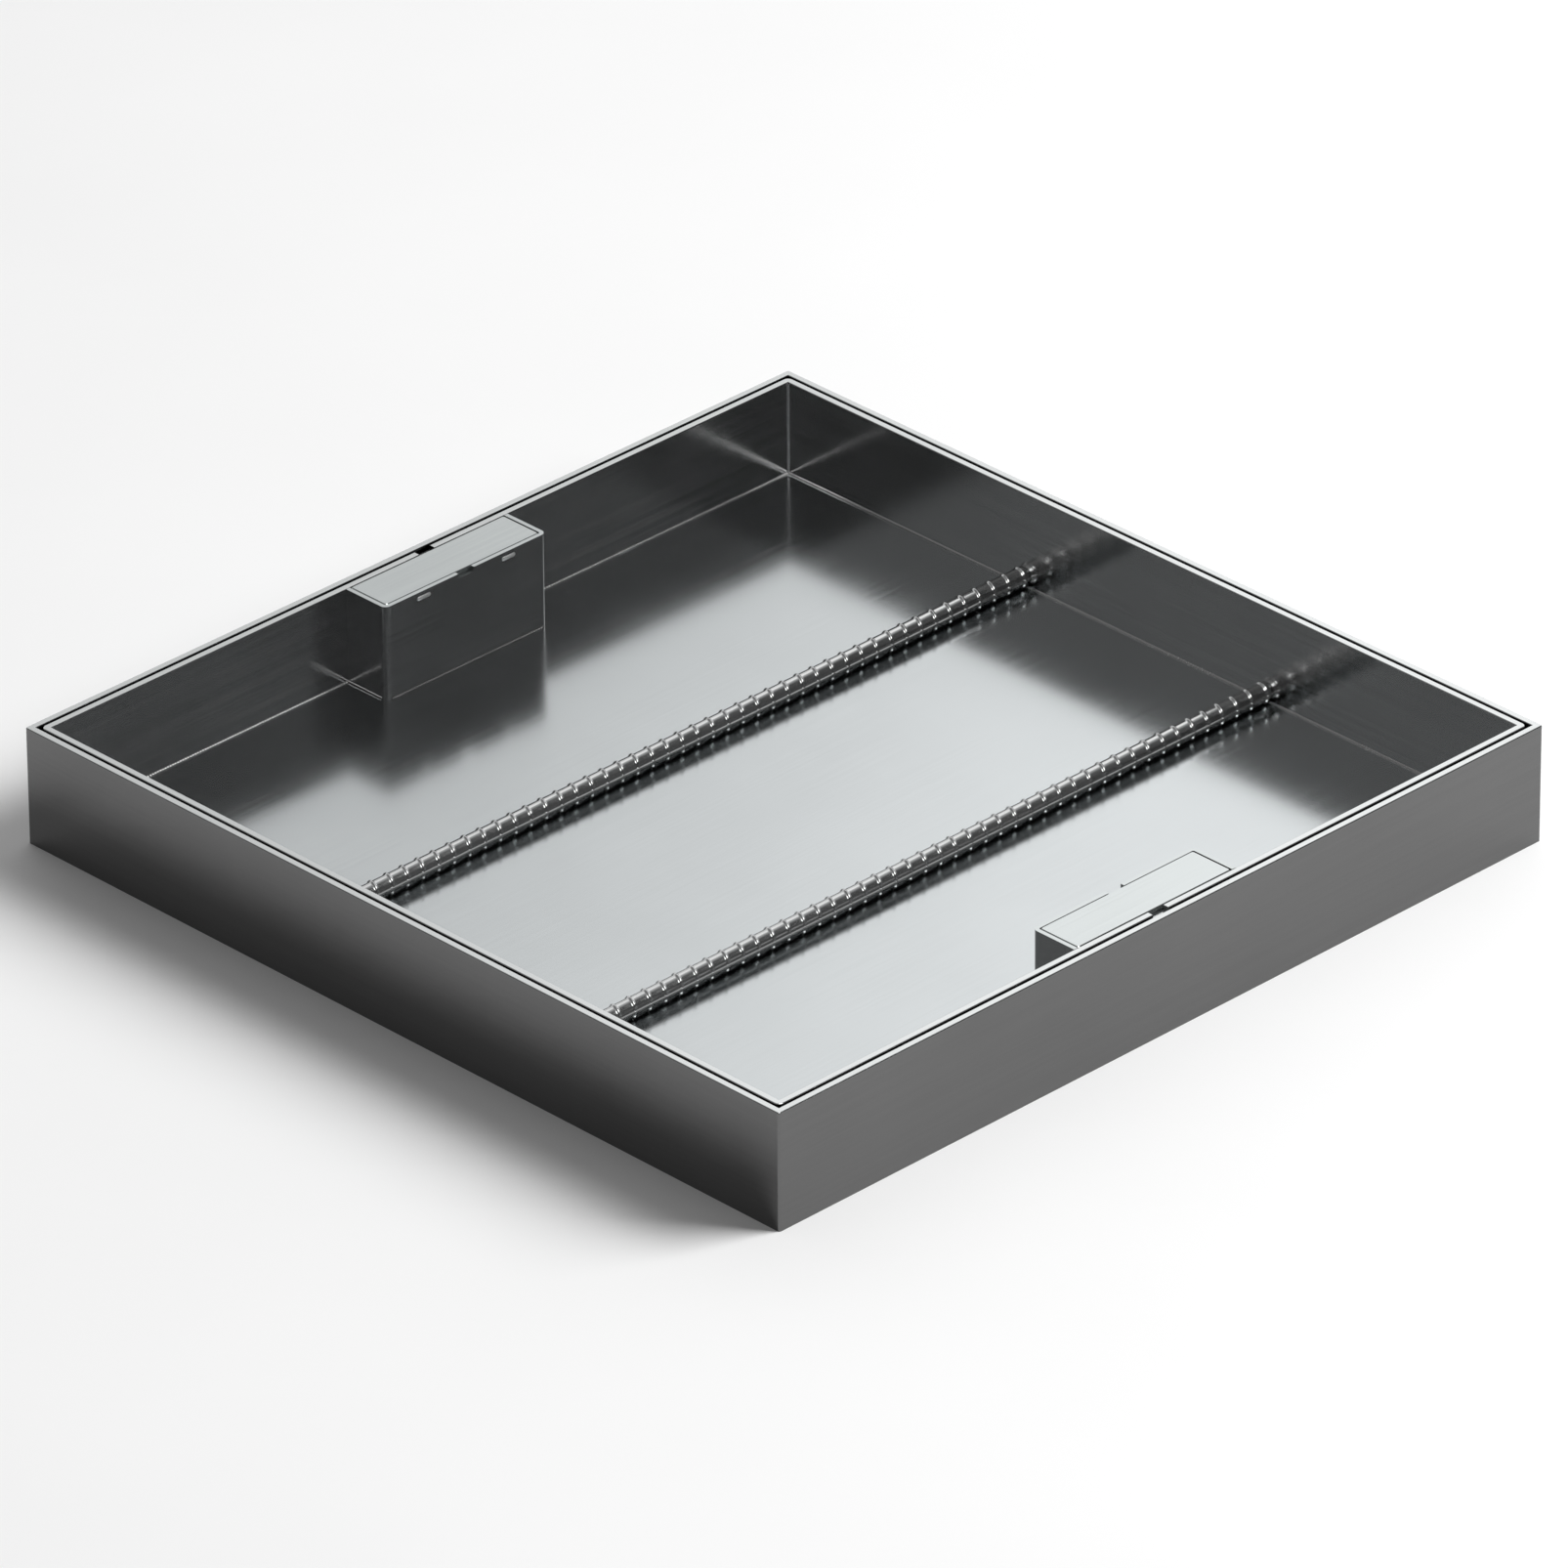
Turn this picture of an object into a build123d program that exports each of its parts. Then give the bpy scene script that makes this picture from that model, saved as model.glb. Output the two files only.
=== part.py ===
from build123d import *

import os

# Recessed access cover for a septic tank, all in millimetres.
# A shallow square tray stands on the ledge of a square frame of angle section.
# The origin is at the middle of the frame's underside, and +Z is up.
# X runs along the two sides that carry the lifting pockets, and front is -Y.

# Frame
CLEAR_OPENING = 600.0
LEDGE_WIDTH = 38.0
LEDGE_THICKNESS = 5.0
FRAME_WALL = 5.0
FRAME_CORNER_RADIUS = 1.5
FRAME_ROOT_RADIUS = 1.5

# Tray
TRAY_PLAY = 2.0
TRAY_HEIGHT = 80.0
TRAY_WALL = 5.0
TRAY_CORNER_RADIUS = 4.0
FLOOR_THICKNESS = 5.0
FLOOR_RAISE = 6.0

# Rounding of the plates' upper edges
EDGE_ROUND = 0.8

# Ribbed reinforcing bars
BAR_SPACING = 221.0
BAR_CORE_DIAMETER = 13.0
BAR_RIB_HEIGHT = 1.1
BAR_RIB_SIDE_INSET = 0.3
BAR_RIB_THICKNESS = 2.0
BAR_RIB_PITCH = 13.6
BAR_RIB_LEAN = -12.0
BAR_SEAM_HEIGHT = 1.0
BAR_SEAM_THICKNESS = 1.8
BAR_FLATS = 12

# Lifting pockets: a folded U of sheet against a side plate
BOX_LENGTH = 145.0
BOX_DEPTH = 37.0
BOX_SHEET = 3.0
BOX_BEND_RADIUS = 1.5

# Lids, the strips that carry them, and the notches for prying them up
LID_THICKNESS = 3.0
LID_SIDE_GAP = 0.3
LID_END_GAP = 0.8
LID_CORNER_RADIUS = 2.0
LID_CHAMFER = 0.6
REST_SPACING = 76.0
REST_WIDTH = 12.0
REST_THICKNESS = 3.0
REST_SLOT_CLEARANCE = 0.1
REST_END_SETBACK = 1.5
NOTCH_WIDTH = 14.0
NOTCH_DEPTH = 3.2

# Round bar inside each pocket for the lifting hook
LIFTING_BAR_DIAMETER = 12.0
LIFTING_BAR_DROP = 30.0

# Sizes that follow
frame_inside = CLEAR_OPENING + 2 * LEDGE_WIDTH
frame_outside = frame_inside + 2 * FRAME_WALL
rim = LEDGE_THICKNESS + TRAY_HEIGHT
tray_outside = frame_inside - 2 * TRAY_PLAY
tray_inside = tray_outside - 2 * TRAY_WALL
floor_top = LEDGE_THICKNESS + FLOOR_RAISE + FLOOR_THICKNESS
wall_face = -tray_inside / 2
pocket_length = BOX_LENGTH - 2 * BOX_SHEET
pocket_depth = BOX_DEPTH - BOX_SHEET
pocket_middle = wall_face + pocket_depth / 2

# How far each side is turned from the front, anticlockwise
SIDE_TURNS = {"front": 0, "right": 90, "back": 180, "left": 270}
POCKET_TURNS = {"front": 0, "back": 180}
ENDS = {"left": -1, "right": 1}


def flat_edges(solid, level, length=None):
    """The edges that lie flat at one level, or those of one length there."""
    slack = 0.01
    edges = solid.edges().filter_by_position(Axis.Z, level - slack, level + slack)
    if length is None:
        return edges
    return edges.filter_by(lambda edge: abs(edge.length - length) < slack)


def square_ring(outside, inside, height, corner_radius):
    """A square tube on the ground plane, with rounded outside corners."""
    outline = RectangleRounded(outside, outside, corner_radius) - Rectangle(inside, inside)
    return extrude(outline, height)


def side_of(ring, turn):
    """One side of a square ring, cut off along its two mitres."""
    reach = frame_outside
    corner = make_face(Polyline((0, 0), (-reach, -reach), (reach, -reach), close=True))
    return ring & (Rot(0, 0, turn) * extrude(corner, reach))


def frame_ring():
    """The whole frame: an upright wall with a ledge inside its lower edge."""
    wall = square_ring(frame_outside, frame_inside, rim, FRAME_CORNER_RADIUS)
    ledge = extrude(Rectangle(frame_inside, frame_inside), LEDGE_THICKNESS)
    hole = extrude(Rectangle(CLEAR_OPENING, CLEAR_OPENING), LEDGE_THICKNESS)
    ring = wall + (ledge - hole)
    ring = fillet(flat_edges(ring, rim), EDGE_ROUND)
    ring = fillet(flat_edges(ring, LEDGE_THICKNESS, CLEAR_OPENING), EDGE_ROUND)
    root_radius = min(FRAME_ROOT_RADIUS, TRAY_PLAY)
    return fillet(flat_edges(ring, LEDGE_THICKNESS, frame_inside), root_radius)


def rest_slots():
    """Cutters for the two lid strips, through a side plate and its box."""
    width = REST_WIDTH + 2 * REST_SLOT_CLEARANCE
    height = REST_THICKNESS + REST_SLOT_CLEARANCE
    depth = 2 * (TRAY_WALL + BOX_DEPTH)
    slot = Box(width, depth, height, align=(Align.CENTER, Align.CENTER, Align.MIN))
    level = rim - LID_THICKNESS - REST_THICKNESS
    return [Pos(end * REST_SPACING / 2, pocket_middle, level) * slot for end in ENDS.values()]


def pry_notch():
    """Cutter for the notches in the middle of both long walls of a pocket."""
    depth = 2 * (TRAY_WALL + BOX_DEPTH)
    return Pos(0, pocket_middle, rim) * Box(NOTCH_WIDTH, depth, 2 * NOTCH_DEPTH)


def tray_ring():
    """The four side plates of the tray as one ring, with rounded rim edges."""
    ring = square_ring(tray_outside, tray_inside, TRAY_HEIGHT, TRAY_CORNER_RADIUS)
    ring = Pos(0, 0, LEDGE_THICKNESS) * ring
    return fillet(flat_edges(ring, rim), EDGE_ROUND)


def tray_wall(ring, side):
    """One side plate, slotted and notched where it closes a lifting pocket."""
    turn = SIDE_TURNS[side]
    plate = side_of(ring, turn)
    if side not in POCKET_TURNS:
        return plate
    return plate - [Rot(0, 0, turn) * cutter for cutter in (*rest_slots(), pry_notch())]


def tray_floor():
    """The floor plate, welded in above the lower edges of the side plates."""
    plate = extrude(Rectangle(tray_inside, tray_inside), FLOOR_THICKNESS)
    return Pos(0, 0, LEDGE_THICKNESS + FLOOR_RAISE) * plate


def many_sided_bar(width, length):
    """A straight bar along X, with flats above and below and at the sides."""
    section = RegularPolygon(width / 2, BAR_FLATS, major_radius=False, rotation=180 / BAR_FLATS)
    return Plane.YZ * extrude(section, length / 2, both=True)


def ribbed_bar():
    """A reinforcing bar along X: core, two seams and leaning ribs above and below.

    A rib is a pair of leaning discs a little narrower than the core, one shifted
    up and one down, so that two crescents stand out and die away to the seams.
    """
    core = many_sided_bar(BAR_CORE_DIAMETER, tray_inside)
    seams = Box(tray_inside, BAR_CORE_DIAMETER + 2 * BAR_SEAM_HEIGHT, BAR_SEAM_THICKNESS)
    disc_width = BAR_CORE_DIAMETER - 2 * BAR_RIB_SIDE_INSET
    disc = Rot(0, 0, BAR_RIB_LEAN) * many_sided_bar(disc_width, BAR_RIB_THICKNESS)
    reach = BAR_RIB_HEIGHT + BAR_RIB_SIDE_INSET
    count = int(tray_inside / BAR_RIB_PITCH) - 1
    start = -BAR_RIB_PITCH * (count - 1) / 2
    ribs = []
    for index in range(count):
        place = start + index * BAR_RIB_PITCH
        for shift in (-reach, reach):
            ribs.append(Pos(place, 0, shift) * disc)
    return core.fuse(seams, *ribs)


def lift_box():
    """The U of sheet behind the front side plate, from the floor to the rim."""
    outer = Pos(0, wall_face + BOX_DEPTH / 2) * Rectangle(BOX_LENGTH, BOX_DEPTH)
    outer = fillet(outer.vertices().group_by(Axis.Y)[-1], BOX_BEND_RADIUS + BOX_SHEET)
    inner = Pos(0, pocket_middle) * Rectangle(pocket_length, pocket_depth)
    inner = fillet(inner.vertices().group_by(Axis.Y)[-1], BOX_BEND_RADIUS)
    shell = Pos(0, 0, floor_top) * extrude(outer - inner, rim - floor_top)
    return shell - [*rest_slots(), pry_notch()]


def lift_box_lid():
    """The loose lid of the front pocket, level with the rim."""
    length = pocket_length - 2 * LID_END_GAP
    width = pocket_depth - 2 * LID_SIDE_GAP
    lid = extrude(RectangleRounded(length, width, LID_CORNER_RADIUS), LID_THICKNESS)
    lid = chamfer(flat_edges(lid, LID_THICKNESS), LID_CHAMFER)
    return Pos(0, pocket_middle, rim - LID_THICKNESS) * lid


def lid_rest(end):
    """A flat strip across the front pocket, with its ends set back in slots."""
    outer_end = wall_face - TRAY_WALL + REST_END_SETBACK
    inner_end = wall_face + BOX_DEPTH - REST_END_SETBACK
    strip = Box(REST_WIDTH, inner_end - outer_end, REST_THICKNESS)
    level = rim - LID_THICKNESS - REST_THICKNESS / 2
    return Pos(end * REST_SPACING / 2, (outer_end + inner_end) / 2, level) * strip


def lifting_bar():
    """The round bar along the front pocket, from end wall to end wall."""
    bar = Rot(0, 90, 0) * Cylinder(LIFTING_BAR_DIAMETER / 2, pocket_length)
    return Pos(0, pocket_middle, rim - LIFTING_BAR_DROP) * bar


def all_pieces():
    """Every piece of the cover, by name."""
    pieces = {}
    frame = frame_ring()
    tray = tray_ring()
    for side, turn in SIDE_TURNS.items():
        pieces[f"frame_{side}"] = side_of(frame, turn)
        pieces[f"tray_wall_{side}"] = tray_wall(tray, side)
    pieces["tray_floor"] = tray_floor()
    bar = ribbed_bar()
    bar_height = floor_top + BAR_CORE_DIAMETER / 2 + BAR_RIB_HEIGHT
    for side, turn in POCKET_TURNS.items():
        turned = Rot(0, 0, turn)
        pieces[f"ribbed_bar_{side}"] = turned * Pos(0, -BAR_SPACING / 2, bar_height) * bar
        pieces[f"lift_box_{side}"] = turned * lift_box()
        pieces[f"lift_box_lid_{side}"] = turned * lift_box_lid()
        pieces[f"lifting_bar_{side}"] = turned * lifting_bar()
        for name, end in ENDS.items():
            pieces[f"lid_rest_{side}_{name}"] = turned * lid_rest(end)
    return pieces


os.makedirs("parts", exist_ok=True)
for name, piece in all_pieces().items():
    export_step(piece, f"parts/{name}.step")
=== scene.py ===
"""Looks of the recessed access cover: steel finishes, rolled bars, welds, and the studio it stands in."""

import itertools
import math

import bmesh
import bpy
from mathutils import Matrix, Vector


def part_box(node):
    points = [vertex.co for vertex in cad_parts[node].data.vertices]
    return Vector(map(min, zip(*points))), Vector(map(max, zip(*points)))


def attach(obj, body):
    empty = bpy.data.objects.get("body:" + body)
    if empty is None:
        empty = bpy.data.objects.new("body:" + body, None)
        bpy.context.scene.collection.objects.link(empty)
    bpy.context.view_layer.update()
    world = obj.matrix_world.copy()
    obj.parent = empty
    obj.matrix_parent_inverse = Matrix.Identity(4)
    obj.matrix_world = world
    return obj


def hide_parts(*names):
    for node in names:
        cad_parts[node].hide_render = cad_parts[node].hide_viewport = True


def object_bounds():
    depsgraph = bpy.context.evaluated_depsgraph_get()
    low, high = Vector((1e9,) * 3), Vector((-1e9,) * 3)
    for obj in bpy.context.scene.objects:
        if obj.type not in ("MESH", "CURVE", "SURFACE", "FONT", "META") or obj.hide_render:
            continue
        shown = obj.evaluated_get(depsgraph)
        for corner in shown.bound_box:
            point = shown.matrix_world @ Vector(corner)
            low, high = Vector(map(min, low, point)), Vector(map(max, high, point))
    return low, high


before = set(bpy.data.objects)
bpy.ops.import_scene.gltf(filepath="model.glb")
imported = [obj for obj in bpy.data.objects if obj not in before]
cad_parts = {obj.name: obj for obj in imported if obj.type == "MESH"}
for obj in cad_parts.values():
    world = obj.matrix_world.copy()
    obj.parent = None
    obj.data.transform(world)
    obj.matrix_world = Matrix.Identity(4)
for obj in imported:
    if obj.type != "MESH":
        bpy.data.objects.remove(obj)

bl_info = {
    "name": "Recessed access cover",
    "version": (1, 0, 0),
    "blender": (4, 5, 0),
    "location": "View3D > Sidebar > Access Cover",
    "description": "Finishes a recessed access cover of satin steel and sets it in a studio",
    "category": "Object",
}

CAD_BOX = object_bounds()
BODY = "root"
SIDES = ("front", "right", "back", "left")
POCKETS = ("front", "back")
ENDS = ("left", "right")
UP = Vector((0, 0, 1))

# Places taken from the frame, in metres
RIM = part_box("frame_front")[1].z
FLOOR_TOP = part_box("tray_floor")[1].z
TRAY_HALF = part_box("tray_floor")[1].x
TRAY_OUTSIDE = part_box("tray_wall_back")[1].y
BOX_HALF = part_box("lift_box_front")[1].x
BOX_FACE = -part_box("lift_box_front")[1].y

# Outer radius of the lifting pockets' folded corners, in metres
BOX_BEND = 0.0045

# Brushed steel: the scale and detail of the noise that its lines and patches come from, and the stretch of
# the lines along the brushing
LINE_SCALE = 500.0
LINE_DETAIL = 3.0
LINE_STRETCH = 0.012
PATCH_SCALE = 9.0
PATCH_DETAIL = 4.0
# How much darker and lighter the lines and patches make the steel, as shares of its colour, and the share
# of the patches in the mix of both
LINE_TONE = 0.05
FLOOR_LINE_TONE = 0.03
PATCH_TONE = 0.05
PATCH_MIX = 0.5
# How much more and less rough they make it
LINE_ROUGHNESS = 0.015
PATCH_ROUGHNESS = 0.02

# Painted highlight on the plates' upward faces near the rim, such as cut edges and slot floors: how far
# below the rim it reaches, and over what depth it fades, in metres
EDGE_HIGHLIGHT_REACH = 0.008
EDGE_HIGHLIGHT_FADE = 0.001

# How far up a surface faces, as the height of its normal, where a painted coat starts and where it is full:
# painted highlights on upward faces, painted shade on the bars' undersides
EDGE_HIGHLIGHT_FACING = (0.45, 0.75)
CREST_HIGHLIGHT_FACING = (0.35, 0.60)
UNDERSIDE_SHADE_FACING = (-0.60, -0.85)


class CoverSteelSettings(bpy.types.PropertyGroup):
    """Colours and finishes of the steel."""

    # Far darker than the tray's steel: painted shade for the dark reflections of the frame's walls
    frame_shaded_colour: bpy.props.FloatVectorProperty(
        name="Frame", description="Satin steel of the frame", subtype="COLOR", size=3,
        default=(0.155, 0.155, 0.155), min=0.0, max=1.0)
    tray_colour: bpy.props.FloatVectorProperty(
        name="Side plates", description="Steel of the tray's side plates and lifting pockets",
        subtype="COLOR", size=3, default=(0.50, 0.50, 0.50), min=0.0, max=1.0)
    floor_colour: bpy.props.FloatVectorProperty(
        name="Floor plate", description="Bright mill finish of the tray's floor", subtype="COLOR", size=3,
        default=(0.67, 0.70, 0.71), min=0.0, max=1.0)
    lid_colour: bpy.props.FloatVectorProperty(
        name="Lids", description="Steel of the pocket lids", subtype="COLOR", size=3,
        default=(0.68, 0.715, 0.715), min=0.0, max=1.0)
    # A painted highlight on the plates' upward faces near the rim
    edge_highlight_colour: bpy.props.FloatVectorProperty(
        name="Painted edge highlights", description="Painted highlight where a plate faces up near the rim", subtype="COLOR", size=3,
        default=(0.77, 0.79, 0.79), min=0.0, max=1.0)
    bar_colour: bpy.props.FloatVectorProperty(
        name="Ribbed bars", description="Rolled skin of the reinforcing bars", subtype="COLOR", size=3,
        default=(0.56, 0.57, 0.57), min=0.0, max=1.0)
    # A painted highlight along the top of the bars
    bar_top_highlight_colour: bpy.props.FloatVectorProperty(
        name="Bar top highlights", description="Painted highlight along the top of the bars", subtype="COLOR",
        size=3, default=(0.72, 0.73, 0.73), min=0.0, max=1.0)
    # Painted shade on the downward-facing underside of the bars
    bar_underside_shade_colour: bpy.props.FloatVectorProperty(
        name="Bar underside shade", description="Painted shade on the underside of the bars", subtype="COLOR",
        size=3, default=(0.14, 0.14, 0.14), min=0.0, max=1.0)
    # A painted highlight on the ribs' crests where they face upwards
    rib_crest_highlight_colour: bpy.props.FloatVectorProperty(
        name="Rib crest highlights", description="Painted highlight on the upward crests of the ribs", subtype="COLOR",
        size=3, default=(0.70, 0.71, 0.71), min=0.0, max=1.0)
    weld_colour: bpy.props.FloatVectorProperty(
        name="Welds", description="Steel of the weld beads", subtype="COLOR", size=3,
        default=(0.54, 0.54, 0.54), min=0.0, max=1.0)
    # Darker copy of the weld steel: painted shade on the beads round the pockets' foot
    shaded_pocket_weld_colour: bpy.props.FloatVectorProperty(
        name="Pocket welds", description="Steel of the weld beads round the lifting pockets",
        subtype="COLOR", size=3, default=(0.26, 0.26, 0.26), min=0.0, max=1.0)
    fitting_colour: bpy.props.FloatVectorProperty(
        name="Fittings", description="Steel of the strips and bars inside the pockets", subtype="COLOR",
        size=3, default=(0.40, 0.40, 0.40), min=0.0, max=1.0)
    plug_colour: bpy.props.FloatVectorProperty(
        name="Plug welds", description="Ground welds that close the strips' slots", subtype="COLOR", size=3,
        default=(0.80, 0.80, 0.80), min=0.0, max=1.0)
    plate_roughness: bpy.props.FloatProperty(
        name="Plate roughness", description="How blurred the side plates' reflections are", subtype="FACTOR",
        default=0.16, min=0.0, max=1.0)
    floor_roughness: bpy.props.FloatProperty(
        name="Floor roughness", description="How blurred the floor plate's reflections are",
        subtype="FACTOR", default=0.17, min=0.0, max=1.0)
    bar_roughness: bpy.props.FloatProperty(
        name="Bar roughness", description="How blurred the ribbed bars' reflections are", subtype="FACTOR",
        default=0.18, min=0.0, max=1.0)
    plug_roughness: bpy.props.FloatProperty(
        name="Plug roughness", description="How blurred the plug welds' reflections are", subtype="FACTOR",
        default=0.50, min=0.0, max=1.0)
    weld_roughness: bpy.props.FloatProperty(
        name="Weld roughness", description="How blurred the weld beads' reflections are", subtype="FACTOR",
        default=0.25, min=0.0, max=1.0)


class CoverBarSettings(bpy.types.PropertyGroup):
    """Form of the ribbed reinforcing bars."""

    rib_height: bpy.props.FloatProperty(
        name="Rib height", description="How far a rib stands out at its middle", unit="LENGTH",
        default=0.0011, min=0.0, precision=5)
    rib_width: bpy.props.FloatProperty(
        name="Rib width", description="Width of a rib at its foot", unit="LENGTH",
        default=0.0033, min=0.0001, precision=5)
    rib_pitch: bpy.props.FloatProperty(
        name="Rib pitch", description="Distance between two ribs of a row", unit="LENGTH",
        default=0.0136, min=0.001, precision=5)
    seam_width: bpy.props.FloatProperty(
        name="Seam width", description="Width of the two seams along a bar", unit="LENGTH",
        default=0.0018, min=0.0, precision=5)
    rib_lean: bpy.props.FloatProperty(
        name="Rib lean", description="How far the ribs lean along the bar", subtype="ANGLE",
        default=math.radians(-12.0))


class CoverWeldSettings(bpy.types.PropertyGroup):
    """Form of the weld beads."""

    leg: bpy.props.FloatProperty(
        name="Leg", description="How far a bead reaches up each plate", unit="LENGTH",
        default=0.0014, min=0.0001, precision=5)
    ripple_pitch: bpy.props.FloatProperty(
        name="Ripple pitch", description="Distance between two ripples of a bead", unit="LENGTH",
        default=0.0022, min=0.0001, precision=5)
    ripple_height: bpy.props.FloatProperty(
        name="Ripple height", description="How far a ripple stands out", unit="LENGTH",
        default=0.0001, min=0.0, precision=5)
    plug_crown: bpy.props.FloatProperty(
        name="Plug crown", description="How far a plug weld stands out of its slot", unit="LENGTH",
        default=0.0007, min=0.0, precision=5)


class CoverStageSettings(bpy.types.PropertyGroup):
    """Studio floor, light and camera."""

    floor_colour: bpy.props.FloatVectorProperty(
        name="Studio floor", description="Colour of the studio floor", subtype="COLOR", size=3,
        default=(0.86, 0.86, 0.86), min=0.0, max=1.0)
    floor_size: bpy.props.FloatProperty(
        name="Floor size", description="Side of the studio floor", unit="LENGTH", default=90.0, min=1.0)
    key_power: bpy.props.FloatProperty(
        name="Key light", description="Power of the soft light above", unit="POWER", default=850.0, min=0.0)
    key_size: bpy.props.FloatProperty(
        name="Key size", description="Side of the soft light", unit="LENGTH", default=4.4, min=0.01)
    key_distance: bpy.props.FloatProperty(
        name="Key distance", description="From the soft light to the cover", unit="LENGTH",
        default=8.0, min=0.1)
    key_heading: bpy.props.FloatProperty(
        name="Key heading", description="Where the soft light hangs, from +X towards +Y", subtype="ANGLE",
        default=math.radians(-42.0))
    key_height: bpy.props.FloatProperty(
        name="Key height", description="How high the soft light hangs above the floor, as an angle",
        subtype="ANGLE", default=math.radians(42.0))
    sky_behind: bpy.props.FloatProperty(
        name="Studio behind", description="Brightness of the studio behind the cover", default=0.95, min=0.0)
    sky_before: bpy.props.FloatProperty(
        name="Studio before", description="Brightness of the studio before the cover", default=0.06, min=0.0)
    sky_left: bpy.props.FloatProperty(
        name="Studio at the left", description="Brightness of the studio's left side",
        default=0.175, min=0.0)
    sky_right: bpy.props.FloatProperty(
        name="Studio at the right", description="Brightness of the studio's right side",
        default=0.078, min=0.0)
    sky_above: bpy.props.FloatProperty(
        name="Studio above", description="Brightness of the studio overhead", default=0.5, min=0.0)
    card_left: bpy.props.FloatProperty(
        name="Card left", description="Brightness of the reflector card's left end", default=0.66, min=0.0)
    card_right: bpy.props.FloatProperty(
        name="Card right", description="Brightness of the reflector card's right end", default=1.10, min=0.0)
    card_width: bpy.props.FloatProperty(
        name="Card width", description="Width of the reflector card behind the cover", unit="LENGTH",
        default=3.2, min=0.01)
    card_height: bpy.props.FloatProperty(
        name="Card height", description="Height of the reflector card behind the cover", unit="LENGTH",
        default=1.3, min=0.01)
    card_distance: bpy.props.FloatProperty(
        name="Card distance", description="From the reflector card to the cover", unit="LENGTH",
        default=2.2, min=0.1)
    card_blend: bpy.props.FloatProperty(
        name="Card blend", description="Half the width in which the card brightens", unit="LENGTH",
        default=0.4, min=0.01)
    card_slant: bpy.props.FloatProperty(
        name="Card slant", description="How far the card's brightening leans towards its upper edge",
        subtype="ANGLE", default=math.radians(25.0))
    overhead_level: bpy.props.FloatProperty(
        name="Overhead card", description="Brightness of the card that hangs high above the ribs",
        default=3.6, min=0.0)
    overhead_width: bpy.props.FloatProperty(
        name="Overhead width", description="Size of the overhead card along X", unit="LENGTH",
        default=2.8, min=0.01)
    overhead_depth: bpy.props.FloatProperty(
        name="Overhead depth", description="Size of the overhead card across X", unit="LENGTH",
        default=1.5, min=0.01)
    overhead_distance: bpy.props.FloatProperty(
        name="Overhead distance", description="From the overhead card to the cover", unit="LENGTH",
        default=3.2, min=0.1)
    overhead_lean: bpy.props.FloatProperty(
        name="Overhead lean", description="How far from overhead the card hangs towards -Y", subtype="ANGLE",
        default=math.radians(30.0))
    view_heading: bpy.props.FloatProperty(
        name="View heading", description="Direction that the camera looks in, from +X towards +Y",
        subtype="ANGLE", default=math.radians(45.52))
    view_drop: bpy.props.FloatProperty(
        name="View drop", description="How far the camera looks down", subtype="ANGLE",
        default=math.radians(29.48))
    view_roll: bpy.props.FloatProperty(
        name="View roll", description="How far the camera leans to its right", subtype="ANGLE",
        default=math.radians(0.34))
    distance: bpy.props.FloatProperty(
        name="Distance", description="From the camera to the cover", unit="LENGTH", default=10.07, min=0.1)
    lens: bpy.props.FloatProperty(
        name="Lens", description="Focal length of the camera", unit="CAMERA", default=360.2, min=1.0)


def add_node(tree, kind, **settings):
    """A new shader node with its own settings made."""
    made = tree.nodes.new("ShaderNode" + kind)
    for setting, value in settings.items():
        setattr(made, setting, value)
    return made


def spread(tree, value, low, high, start=0.3, end=0.7):
    """A value between start and end, which suit noise if not given, spread out between low and high."""
    made = add_node(tree, "MapRange", clamp=True)
    made.inputs["From Min"].default_value = start
    made.inputs["From Max"].default_value = end
    made.inputs["To Min"].default_value = low
    made.inputs["To Max"].default_value = high
    tree.links.new(value, made.inputs["Value"])
    return made.outputs["Result"]


def noise(tree, place, scale, detail, stretch=(1.0, 1.0, 1.0)):
    """Noise at a place, drawn out along the axes where the stretch is small."""
    mapping = add_node(tree, "Mapping")
    mapping.inputs["Scale"].default_value = stretch
    tree.links.new(place, mapping.inputs["Vector"])
    made = add_node(tree, "TexNoise")
    made.inputs["Scale"].default_value = scale
    made.inputs["Detail"].default_value = detail
    tree.links.new(mapping.outputs["Vector"], made.inputs["Vector"])
    return made.outputs["Fac"]


def combine(tree, operation, first, second):
    """The sum or product of two values."""
    made = add_node(tree, "Math", operation=operation)
    tree.links.new(first, made.inputs[0])
    tree.links.new(second, made.inputs[1])
    return made.outputs["Value"]


def mix_colours(tree, factor, first, second):
    """A mix of two colours, each given as numbers or as a socket, by a factor given either way."""
    made = add_node(tree, "Mix", data_type="RGBA")
    if isinstance(factor, float):
        made.inputs["Factor"].default_value = factor
    else:
        tree.links.new(factor, made.inputs["Factor"])
    for socket, colour in zip((made.inputs[6], made.inputs[7]), (first, second)):
        if isinstance(colour, bpy.types.NodeSocket):
            tree.links.new(colour, socket)
        else:
            socket.default_value = (*colour, 1.0)
    return made.outputs[2]


def mix_values(tree, factor, first, second):
    """A mix of a socket's value and a number."""
    made = add_node(tree, "Mix", data_type="FLOAT")
    tree.links.new(factor, made.inputs["Factor"])
    tree.links.new(first, made.inputs[2])
    made.inputs[3].default_value = second
    return made.outputs[0]


def along_axis(tree, way, axis):
    """How far a direction points along an axis, from -1 to 1."""
    made = add_node(tree, "VectorMath", operation="DOT_PRODUCT")
    made.inputs[1].default_value = axis
    tree.links.new(way, made.inputs[0])
    return made.outputs["Value"]


def shade(colour, factor):
    """A colour made darker or lighter by a factor."""
    return tuple(min(1.0, part * factor) for part in colour)


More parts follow.
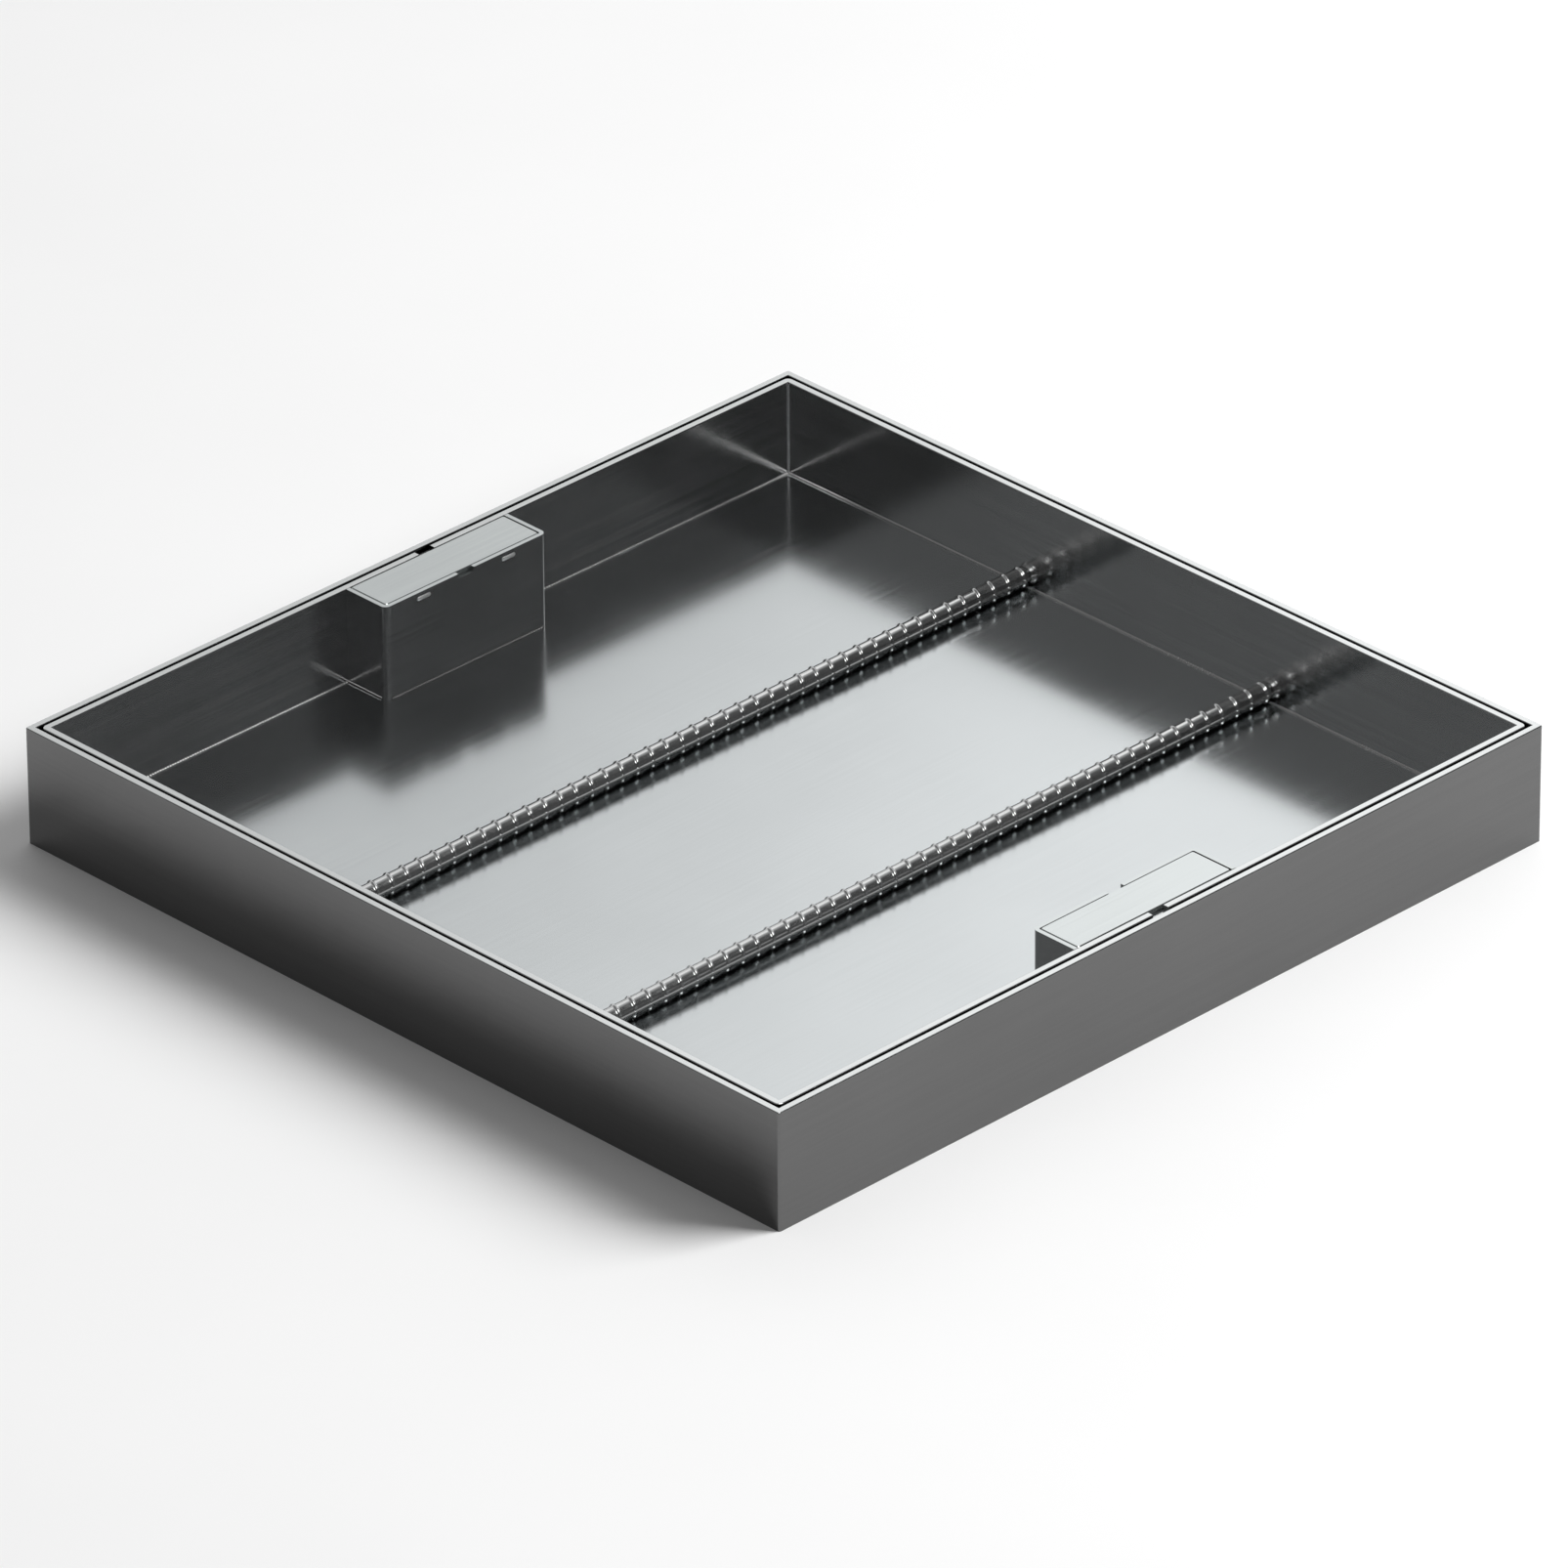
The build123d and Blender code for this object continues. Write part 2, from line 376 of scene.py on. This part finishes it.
def varied(tree, marks, colour, share):
    """A colour that grows darker and lighter by a share of itself, as the noise of the marks says."""
    factor = spread(tree, marks, 0.0, 1.0)
    return mix_colours(tree, factor, shade(colour, 1 - share), shade(colour, 1 + share))


def facing_up(tree, start, end):
    """How far a surface has turned up or down, as a value from 0 to 1 between two heights of its normal."""
    facing = add_node(tree, "SeparateXYZ")
    tree.links.new(add_node(tree, "TexCoord").outputs["Normal"], facing.inputs["Vector"])
    return spread(tree, facing.outputs["Z"], 0.0, 1.0, start, end)


def rim_highlight_mask(tree):
    """Painted highlight where a plate near the rim faces upwards, as on its cut edges and the floors of its
    slots.
    """
    height = add_node(tree, "SeparateXYZ")
    tree.links.new(add_node(tree, "TexCoord").outputs["Object"], height.inputs["Vector"])
    lowest = RIM - EDGE_HIGHLIGHT_REACH
    near_rim = spread(tree, height.outputs["Z"], 0.0, 1.0, lowest - EDGE_HIGHLIGHT_FADE, lowest)
    return combine(tree, "MULTIPLY", near_rim, facing_up(tree, *EDGE_HIGHLIGHT_FACING))


def rib_crest_highlight(tree):
    """Painted highlight on the crests of a rolled bar's ribs, where they face upwards."""
    height = add_node(tree, "Attribute", attribute_name=CREST)
    near_crest = spread(tree, height.outputs["Fac"], 0.0, 1.0, *CREST_HIGHLIGHT_SPAN)
    return combine(tree, "MULTIPLY", near_crest, facing_up(tree, *CREST_HIGHLIGHT_FACING))


def bar_top_highlight(tree):
    """Painted highlight: the strip along the top of a rolled bar."""
    return add_node(tree, "Attribute", attribute_name=TOP_HIGHLIGHT_ATTRIBUTE).outputs["Fac"]


def bar_underside_shade(tree):
    """Painted shade: the underside of a rolled bar."""
    return facing_up(tree, *UNDERSIDE_SHADE_FACING)


def brush_stretch(along):
    """Stretch of the brush lines, which run along one axis."""
    return tuple(LINE_STRETCH if axis == along else 1.0 for axis in "XYZ")


def satin_steel(name, colour, roughness, along, painted_coats=(), line_tone=LINE_TONE):
    """Brushed steel with lines along one axis and cloudy patches; a painted coat of highlight or shade is
    where it lies and its colour.
    """
    material = bpy.data.materials.new(name)
    material.use_nodes = True
    tree = material.node_tree
    shader = tree.nodes["Principled BSDF"]
    shader.inputs["Metallic"].default_value = 1.0
    place = add_node(tree, "TexCoord").outputs["Object"]
    lines = noise(tree, place, LINE_SCALE, LINE_DETAIL, brush_stretch(along))
    patches = noise(tree, place, PATCH_SCALE, PATCH_DETAIL)
    brushed = varied(tree, lines, colour, line_tone)
    clouded = varied(tree, patches, colour, PATCH_TONE)
    finished = mix_colours(tree, PATCH_MIX, brushed, clouded)
    line_rough = spread(tree, lines, roughness - LINE_ROUGHNESS, roughness + LINE_ROUGHNESS)
    patch_rough = spread(tree, patches, -PATCH_ROUGHNESS, PATCH_ROUGHNESS)
    rough = combine(tree, "ADD", line_rough, patch_rough)
    # Each painted coat lays its painted highlight or painted shade where its mask says
    for cover, painted_colour in painted_coats:
        finished = mix_colours(tree, cover(tree), finished, painted_colour)
    tree.links.new(finished, shader.inputs["Base Color"])
    tree.links.new(rough, shader.inputs["Roughness"])
    return material


def give(node, material):
    """Puts a material on a node of the frame."""
    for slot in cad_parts[node].material_slots:
        slot.material = material


def object_from(name, bm, material):
    """Turns a bmesh into an object of one material, and puts it in the scene."""
    mesh = bpy.data.meshes.new(name)
    bm.to_mesh(mesh)
    bm.free()
    mesh.materials.append(material)
    made = bpy.data.objects.new(name, mesh)
    bpy.context.scene.collection.objects.link(made)
    return made


def finish_piece(name, bm, material, slot, *replaced):
    """Turns a bmesh into a piece of the cover."""
    bmesh.ops.recalc_face_normals(bm, faces=bm.faces)
    piece = object_from(name, bm, material)
    if replaced:
        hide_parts(*replaced)
    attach(piece, BODY)


class COVER_OT_frame_finish(bpy.types.Operator):
    """Brushes the four sides of the frame"""

    bl_idname = "cover.frame_finish"
    bl_label = "Finish the frame"

    def execute(self, context):
        steel = context.scene.cover_steel
        for sides, along in ((("front", "back"), "X"), (("left", "right"), "Y")):
            # The frame's upward faces near the rim get a painted highlight
            material = satin_steel(f"frame steel brushed along {along}", steel.frame_shaded_colour,
                                   steel.plate_roughness, along, ((rim_highlight_mask, steel.edge_highlight_colour),))
            for side in sides:
                give(f"frame_{side}", material)
        return {"FINISHED"}


class COVER_OT_tray_finish(bpy.types.Operator):
    """Brushes the tray's four side plates and its floor"""

    bl_idname = "cover.tray_finish"
    bl_label = "Finish the tray"

    def execute(self, context):
        steel = context.scene.cover_steel
        for sides, along in ((("front", "back"), "X"), (("left", "right"), "Y")):
            # The side plates' upward faces near the rim get a painted highlight
            material = satin_steel(f"tray steel brushed along {along}", steel.tray_colour,
                                   steel.plate_roughness, along, ((rim_highlight_mask, steel.edge_highlight_colour),))
            for side in sides:
                give(f"tray_wall_{side}", material)
        floor = satin_steel("bright floor steel", steel.floor_colour, steel.floor_roughness, "X",
                            line_tone=FLOOR_LINE_TONE)
        give("tray_floor", floor)
        return {"FINISHED"}


class COVER_OT_pocket_finish(bpy.types.Operator):
    """Brushes the lifting pockets, their lids and what is inside them"""

    bl_idname = "cover.pocket_finish"
    bl_label = "Finish the lifting pockets"

    def execute(self, context):
        steel = context.scene.cover_steel
        # The pockets' upward faces near the rim get a painted highlight in the lids' colour
        box = satin_steel("pocket sheet", steel.tray_colour, steel.plate_roughness, "X",
                          ((rim_highlight_mask, steel.lid_colour),))
        lid = satin_steel("lid steel", steel.lid_colour, steel.plate_roughness, "X")
        fitting = satin_steel("pocket fittings", steel.fitting_colour, steel.plate_roughness, "Y")
        for side in POCKETS:
            give(f"lift_box_{side}", box)
            give(f"lift_box_lid_{side}", lid)
            give(f"lifting_bar_{side}", fitting)
            for end in ENDS:
                give(f"lid_rest_{side}_{end}", fitting)
        return {"FINISHED"}


# A rib's section: place across the rib as a share of half its width, and height as a share of its crest
RIB_SECTION = ((-1.2, 0.0), (-0.95, 0.02), (-0.7, 0.22), (-0.45, 0.62), (-0.2, 0.93), (0.0, 1.0),
               (0.2, 0.93), (0.45, 0.62), (0.7, 0.22), (0.95, 0.02), (1.2, 0.0))
BAR_SEGMENTS = 40
RIB_FULLNESS = 0.45
# The seam's half section, from the bar's side upwards: how far a point stands out as a share of the
# seam, and its height as a share of half the seam's width
SEAM_SECTION = ((1.0, 0.0), (0.9, 0.85), (0.0, 1.25))
# The painted highlight along the bar's top comes in between these two heights, as shares of its radius
TOP_HIGHLIGHT_FROM = 0.95
TOP_HIGHLIGHT_TO = 0.985
# Shares of a rib's crest between which its painted highlight comes in
CREST_HIGHLIGHT_SPAN = (0.4, 0.9)
# Names of the values that a bar's points carry for its material's painted highlights
CREST = "crest"
TOP_HIGHLIGHT_ATTRIBUTE = "top"


def rib_rings(length, bars):
    """Rings along a ribbed bar: place along the bar, and height of the rib there as a share of its crest."""
    rings = [(-length / 2, 0.0)]
    count = int(length / bars.rib_pitch) + 1
    start = -bars.rib_pitch * (count - 1) / 2
    for index in range(count):
        middle = start + index * bars.rib_pitch
        for across, height in RIB_SECTION:
            rings.append((middle + across * bars.rib_width / 2, height))
    rings.append((length / 2, 0.0))
    return rings


def rolled_bar(side, bars):
    """A ribbed bar: a cylinder cut into rings, whose points are moved out into ribs and seams."""
    low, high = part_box(f"ribbed_bar_{side}")
    middle = (low + high) / 2
    length = high.x - low.x
    radius = (high.z - low.z) / 2 - bars.rib_height
    seam = (high.y - low.y) / 2 - radius
    rings = rib_rings(length, bars)
    bm = bmesh.new()
    bmesh.ops.create_cone(bm, cap_ends=True, segments=BAR_SEGMENTS, radius1=radius, radius2=radius,
                          depth=length)
    bmesh.ops.rotate(bm, verts=bm.verts, cent=(0, 0, 0), matrix=Matrix.Rotation(math.pi / 2, 3, "Y"))
    long_edges = [edge for edge in bm.edges if abs(edge.verts[0].co.x - edge.verts[1].co.x) > length / 2]
    bmesh.ops.subdivide_edges(bm, edges=long_edges, cuts=len(rings) - 2, use_grid_fill=True)
    crest = bm.verts.layers.float.new(CREST)
    top = bm.verts.layers.float.new(TOP_HIGHLIGHT_ATTRIBUTE)
    shoulders = set()
    slope = math.tan(bars.rib_lean)
    last = len(rings) - 1
    for vert in bm.verts:
        place, height = rings[round((vert.co.x / length + 0.5) * last)]
        angle = math.atan2(vert.co.z, vert.co.y)
        rise = math.sin(angle)
        rib_share = height * abs(rise) ** RIB_FULLNESS
        reach = radius + bars.rib_height * rib_share
        out = reach * math.cos(angle)
        level = reach * rise
        step = round(abs(math.asin(rise)) * BAR_SEGMENTS / (2 * math.pi))
        if step < len(SEAM_SECTION):
            share, lift = SEAM_SECTION[step]
            level = math.copysign(lift * bars.seam_width / 2, rise)
            at_rib = math.sqrt(reach ** 2 - level ** 2)
            at_seam = math.sqrt(radius ** 2 - level ** 2) + share * seam
            out = math.copysign(max(at_rib, at_seam), out)
            if step > 0:
                shoulders.add(vert)
        # The rib's height is kept for the painted highlight on its crest
        vert[crest] = rib_share
        # The strip along the bar's top is marked for its painted highlight
        vert[top] = min(1.0, max(0.0, (rise - TOP_HIGHLIGHT_FROM) / (TOP_HIGHLIGHT_TO - TOP_HIGHLIGHT_FROM)))
        inside = min(1.0, (length / 2 - abs(place)) / bars.rib_pitch)
        vert.co = Vector((place - slope * inside * out, out, level)) + middle
    for face in bm.faces:
        on_shoulder = all(vert in shoulders for vert in face.verts)
        face.smooth = len(face.verts) == 4 and not on_shoulder
    return bm


class COVER_OT_ribbed_bars(bpy.types.Operator):
    """Models the two ribbed reinforcing bars on the tray floor"""

    bl_idname = "cover.ribbed_bars"
    bl_label = "Roll the ribbed bars"

    def execute(self, context):
        steel = context.scene.cover_steel
        bars = context.scene.cover_bars
        # Painted shade on the bars' undersides, and painted highlights along their tops and on their ribs'
        # crests
        painted_coats = ((bar_underside_shade, steel.bar_underside_shade_colour), (bar_top_highlight, steel.bar_top_highlight_colour),
                 (rib_crest_highlight, steel.rib_crest_highlight_colour))
        material = satin_steel("rolled bar steel", steel.bar_colour, steel.bar_roughness, "X", painted_coats)
        for side in POCKETS:
            bm = rolled_bar(side, bars)
            finish_piece(f"rolled_bar_{side}", bm, material, "ribbed_bar_steel", f"ribbed_bar_{side}")
        return {"FINISHED"}


# Weld beads: the rings to a ripple, where the crown's two points lie between the toes, and how far the
# crown stands out, the last two as shares of the leg
RINGS_PER_RIPPLE = 4
CROWN_PLACES = (0.7, 0.3)
CROWN_RISE = 0.12
# How far below the rim the beads in the corners stop, in metres
BEAD_STOP = 0.001


def weld_bead(bm, start, end, side_a, side_b, welds):
    """A rippled fillet bead from start to end, in the corner of two plates that lead off along a and b."""
    run = end - start
    out = (side_a + side_b).normalized()
    rise = out * welds.leg * CROWN_RISE
    crowns = [(side_a * share + side_b * (1 - share)) * welds.leg + rise for share in CROWN_PLACES]
    steps = max(RINGS_PER_RIPPLE, round(run.length / welds.ripple_pitch * RINGS_PER_RIPPLE))
    rings = []
    for step in range(steps + 1):
        place = start + run * (step / steps)
        phase = run.length * step / steps / welds.ripple_pitch
        ripple = out * welds.ripple_height * abs(math.sin(math.pi * phase))
        points = [place, place + side_a * welds.leg]
        points += [place + crown + ripple for crown in crowns]
        points.append(place + side_b * welds.leg)
        rings.append([bm.verts.new(point) for point in points])
    bm.faces.new(rings[0])
    bm.faces.new(rings[-1])
    for ring, following in zip(rings, rings[1:]):
        for index in range(len(ring)):
            bm.faces.new((ring[index - 1], ring[index], following[index], following[index - 1]))


def turned(vector, quarter):
    """A vector turned about +Z by some quarter turns."""
    return Matrix.Rotation(math.pi / 2 * quarter, 3, "Z") @ Vector(vector)


class COVER_OT_tray_welds(bpy.types.Operator):
    """Lays the weld beads in the tray's inner corners"""

    bl_idname = "cover.tray_welds"
    bl_label = "Weld the tray"

    def execute(self, context):
        steel = context.scene.cover_steel
        welds = context.scene.cover_welds
        material = satin_steel("weld steel", steel.weld_colour, steel.weld_roughness, "X")
        bm = bmesh.new()
        for quarter, side in enumerate(SIDES):
            corner = turned((-TRAY_HALF, -TRAY_HALF, FLOOR_TOP), quarter)
            next_corner = turned((TRAY_HALF, -TRAY_HALF, FLOOR_TOP), quarter)
            inward = turned((0, 1, 0), quarter)
            sideways = turned((1, 0, 0), quarter)
            stops = [corner, next_corner]
            if side in POCKETS:
                stops[1:1] = [turned((-BOX_HALF, -TRAY_HALF, FLOOR_TOP), quarter),
                              turned((BOX_HALF, -TRAY_HALF, FLOOR_TOP), quarter)]
            for first, second in zip(stops[::2], stops[1::2]):
                weld_bead(bm, first, second, inward, UP, welds)
            top = corner + UP * (RIM - FLOOR_TOP - BEAD_STOP)
            weld_bead(bm, corner, top, inward, sideways, welds)
        finish_piece("tray_weld_beads", bm, material, "tray_steel")
        return {"FINISHED"}


class COVER_OT_pocket_welds(bpy.types.Operator):
    """Lays the weld beads round the foot of the lifting pockets"""

    bl_idname = "cover.pocket_welds"
    bl_label = "Weld the lifting pockets"

    def execute(self, context):
        steel = context.scene.cover_steel
        welds = context.scene.cover_welds
        # The beads round the pockets get painted shade, darker than the tray's beads
        material = satin_steel("shaded pocket weld steel", steel.shaded_pocket_weld_colour, steel.weld_roughness, "X")
        for side in POCKETS:
            quarter = SIDES.index(side)
            bm = bmesh.new()
            for hand in (-1, 1):
                sideways = turned((hand, 0, 0), quarter)
                at_wall = turned((hand * BOX_HALF, -TRAY_HALF, FLOOR_TOP), quarter)
                at_bend = turned((hand * BOX_HALF, -BOX_FACE - BOX_BEND, FLOOR_TOP), quarter)
                weld_bead(bm, at_wall, at_bend, sideways, UP, welds)
            left = turned((-BOX_HALF + BOX_BEND, -BOX_FACE, FLOOR_TOP), quarter)
            right = turned((BOX_HALF - BOX_BEND, -BOX_FACE, FLOOR_TOP), quarter)
            weld_bead(bm, left, right, turned((0, 1, 0), quarter), UP, welds)
            finish_piece(f"pocket_weld_beads_{side}", bm, material, "lift_box_steel")
        return {"FINISHED"}


# How finely a plug weld is cut, round its middle and from end to end
PLUG_SEGMENTS = 16
PLUG_RINGS = 9


def plug_weld(bm, middle, half_length, half_height, crown):
    """A flat rounded bead that closes the end of a slot: a ball drawn out to the slot's length."""
    made = bmesh.ops.create_uvsphere(bm, u_segments=PLUG_SEGMENTS, v_segments=PLUG_RINGS, radius=half_height)
    bmesh.ops.rotate(bm, verts=made["verts"], cent=(0, 0, 0), matrix=Matrix.Rotation(math.pi / 2, 3, "Y"))
    for vert in made["verts"]:
        vert.co.x += math.copysign(half_length - half_height, vert.co.x)
        vert.co.y *= crown / half_height
    bmesh.ops.translate(bm, verts=made["verts"], vec=middle)


class COVER_OT_plug_welds(bpy.types.Operator):
    """Closes the slots of the lid strips with plug welds"""

    bl_idname = "cover.plug_welds"
    bl_label = "Close the strips' slots"

    def execute(self, context):
        steel = context.scene.cover_steel
        welds = context.scene.cover_welds
        material = satin_steel("plug weld steel", steel.plug_colour, steel.plug_roughness, "X")
        for side in POCKETS:
            bm = bmesh.new()
            for end in ENDS:
                low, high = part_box(f"lid_rest_{side}_{end}")
                middle = (low + high) / 2
                for reach in (BOX_FACE, TRAY_OUTSIDE):
                    place = Vector((middle.x, math.copysign(reach, middle.y), middle.z))
                    plug_weld(bm, place, (high.x - low.x) / 2, (high.z - low.z) / 2, welds.plug_crown)
            for face in bm.faces:
                face.smooth = True
            finish_piece(f"plug_welds_{side}", bm, material, "pocket_fitting_steel")
        return {"FINISHED"}


class COVER_OT_stage(bpy.types.Operator):
    """Lays the studio floor, hangs the lights and sets up the camera"""

    bl_idname = "cover.stage"
    bl_label = "Set the stage"

    def execute(self, context):
        stage = context.scene.cover_stage
        lay_floor(stage)
        light_studio(stage)
        hang_cards(stage)
        place_camera(stage)
        return {"FINISHED"}


# The studio floor's faint mottling, its tone as a share of the colour, and how dull the floor is
MOTTLE_SCALE = 3.0
MOTTLE_DETAIL = 5.0
MOTTLE_TONE = 0.01
STUDIO_FLOOR_ROUGHNESS = 0.9


def lay_floor(stage):
    """A wide pale floor under the cover."""
    material = bpy.data.materials.new("studio floor")
    material.use_nodes = True
    tree = material.node_tree
    shader = tree.nodes["Principled BSDF"]
    place = add_node(tree, "TexCoord").outputs["Object"]
    mottle = noise(tree, place, MOTTLE_SCALE, MOTTLE_DETAIL)
    colour = varied(tree, mottle, stage.floor_colour, MOTTLE_TONE)
    tree.links.new(colour, shader.inputs["Base Color"])
    shader.inputs["Roughness"].default_value = STUDIO_FLOOR_ROUGHNESS
    shader.inputs["Specular IOR Level"].default_value = 0.0
    bm = bmesh.new()
    bmesh.ops.create_grid(bm, x_segments=1, y_segments=1, size=stage.floor_size / 2)
    object_from("studio_floor", bm, material)


def direction(heading, height):
    """A direction by its heading, from +X towards +Y, and how far it points up, as an angle."""
    level = math.cos(height)
    return Vector((level * math.cos(heading), level * math.sin(heading), math.sin(height)))


def view_direction(stage):
    """The direction that the camera looks in."""
    return direction(stage.view_heading, -stage.view_drop)


# Where one part of the studio blends into the next, as how far a direction points that way
SIDE_BLEND = (-0.5, 0.5)
BEFORE_BLEND = (-0.2, -0.7)
BEHIND_BLEND = (0.35, 0.80)
ABOVE_BLEND = (0.80, 0.95)


def light_studio(stage):
    """A studio that is bright behind the cover, less so overhead and dim elsewhere, with one soft light."""
    world = bpy.data.worlds.new("studio")
    bpy.context.scene.world = world
    world.use_nodes = True
    tree = world.node_tree
    background = tree.nodes["Background"]
    way = add_node(tree, "TexCoord").outputs["Generated"]
    heading = direction(stage.view_heading, 0.0)
    right = Vector((heading.y, -heading.x, 0))
    ahead = along_axis(tree, way, heading)
    aside = along_axis(tree, way, right)
    upwards = along_axis(tree, way, UP)
    level = spread(tree, aside, stage.sky_left, stage.sky_right, *SIDE_BLEND)
    for goal, value, blend in (
        (stage.sky_before, ahead, BEFORE_BLEND),
        (stage.sky_behind, ahead, BEHIND_BLEND),
        (stage.sky_above, upwards, ABOVE_BLEND),
    ):
        level = mix_values(tree, spread(tree, value, 0.0, 1.0, *blend), level, goal)
    tree.links.new(level, background.inputs["Strength"])
    background.inputs["Color"].default_value = (1.0, 1.0, 1.0, 1.0)
    key = bpy.data.lights.new("key_light", "AREA")
    key.shape = "SQUARE"
    key.size = stage.key_size
    key.energy = stage.key_power
    lamp = bpy.data.objects.new("key_light", key)
    away = direction(stage.key_heading, stage.key_height)
    lamp.location = away * stage.key_distance
    lamp.rotation_euler = (-away).to_track_quat("-Z", "Y").to_euler()
    lamp.visible_camera = False
    lamp.visible_glossy = False
    bpy.context.scene.collection.objects.link(lamp)


def hang_card(name, away, size, levels, blend=1.0, slant=0.0):
    """A glowing card that faces the cover and that only mirrors show.

    Its two levels are those of its left and right, the blend is half the width in which one turns into
    the other, and the slant leans that change towards the upper edge.
    """
    material = bpy.data.materials.new(name)
    material.use_nodes = True
    tree = material.node_tree
    tree.nodes.remove(tree.nodes["Principled BSDF"])
    glow = add_node(tree, "Emission")
    place = add_node(tree, "TexCoord").outputs["Object"]
    across = along_axis(tree, place, (math.cos(slant), math.sin(slant), 0.0))
    level = spread(tree, across, *levels, -blend, blend)
    level.node.interpolation_type = "SMOOTHSTEP"
    tree.links.new(level, glow.inputs["Strength"])
    tree.links.new(glow.outputs["Emission"], tree.nodes["Material Output"].inputs["Surface"])
    bm = bmesh.new()
    bmesh.ops.create_grid(bm, x_segments=1, y_segments=1, size=0.5)
    bmesh.ops.scale(bm, verts=bm.verts, vec=(*size, 1.0))
    card = object_from(name, bm, material)
    card.location = away
    card.rotation_euler = away.to_track_quat("-Z", "Y").to_euler()
    card.visible_camera = False
    card.visible_shadow = False
    card.visible_diffuse = False


def hang_cards(stage):
    """One card behind the cover, where its level plates mirror it, and one high up for the ribs."""
    mirrored = view_direction(stage)
    mirrored.z = -mirrored.z
    hang_card("reflector_card", mirrored * stage.card_distance, (stage.card_width, stage.card_height),
              (stage.card_left, stage.card_right), stage.card_blend, stage.card_slant)
    above = Vector((0, -math.sin(stage.overhead_lean), math.cos(stage.overhead_lean)))
    hang_card("overhead_card", above * stage.overhead_distance, (stage.overhead_width, stage.overhead_depth),
              (stage.overhead_level, stage.overhead_level))


# The camera's sensor in millimetres, and how far it sees in metres
SENSOR_WIDTH = 36.0
SIGHT = 200.0


def place_camera(stage):
    """A long lens at the photograph's angle, with the cover in the middle of the picture."""
    data = bpy.data.cameras.new("camera")
    data.lens = stage.lens
    data.sensor_width = SENSOR_WIDTH
    data.clip_end = SIGHT
    camera = bpy.data.objects.new("camera", data)
    forward = view_direction(stage)
    turn = forward.to_track_quat("-Z", "Y") @ Matrix.Rotation(-stage.view_roll, 4, "Z").to_quaternion()
    right = turn @ Vector((1, 0, 0))
    up = turn @ Vector((0, 1, 0))
    low, high = CAD_BOX
    corners = [Vector(corner) for corner in itertools.product(*zip(low, high))]
    aim = Vector((0, 0, 0))
    for axis in (right, up):
        reaches = [corner.dot(axis) for corner in corners]
        aim += axis * (min(reaches) + max(reaches)) / 2
    camera.location = aim - forward * stage.distance
    camera.rotation_euler = turn.to_euler()
    bpy.context.scene.collection.objects.link(camera)
    bpy.context.scene.camera = camera
    bpy.context.scene.view_settings.view_transform = "Standard"


class COVER_PT_sidebar(bpy.types.Panel):
    """Lists the steps that make the cover"""

    bl_idname = "COVER_PT_sidebar"
    bl_label = "Access cover"
    bl_space_type = "VIEW_3D"
    bl_region_type = "UI"
    bl_category = "Access Cover"

    def draw(self, context):
        for operator in OPERATORS:
            self.layout.operator(operator.bl_idname)
        for group in SETTINGS:
            settings = getattr(context.scene, group)
            for name in settings.bl_rna.properties.keys():
                if name not in ("rna_type", "name"):
                    self.layout.prop(settings, name)


SETTINGS = {
    "cover_steel": CoverSteelSettings,
    "cover_bars": CoverBarSettings,
    "cover_welds": CoverWeldSettings,
    "cover_stage": CoverStageSettings,
}
OPERATORS = (
    COVER_OT_stage,
    COVER_OT_frame_finish,
    COVER_OT_tray_finish,
    COVER_OT_pocket_finish,
    COVER_OT_ribbed_bars,
    COVER_OT_tray_welds,
    COVER_OT_pocket_welds,
    COVER_OT_plug_welds,
)


def register():
    """Adds the settings, the operators and the panel."""
    for name, group in SETTINGS.items():
        bpy.utils.register_class(group)
        setattr(bpy.types.Scene, name, bpy.props.PointerProperty(type=group))
    for operator in OPERATORS:
        bpy.utils.register_class(operator)
    bpy.utils.register_class(COVER_PT_sidebar)


def unregister():
    """Takes the panel, the operators and the settings away."""
    bpy.utils.unregister_class(COVER_PT_sidebar)
    for operator in reversed(OPERATORS):
        bpy.utils.unregister_class(operator)
    for name, group in SETTINGS.items():
        delattr(bpy.types.Scene, name)
        bpy.utils.unregister_class(group)


def main():
    """Makes the whole scene."""
    register()
    bpy.ops.cover.stage()
    bpy.ops.cover.frame_finish()
    bpy.ops.cover.tray_finish()
    bpy.ops.cover.pocket_finish()
    bpy.ops.cover.ribbed_bars()
    bpy.ops.cover.tray_welds()
    bpy.ops.cover.pocket_welds()
    bpy.ops.cover.plug_welds()


if __name__ == "__main__":
    main()
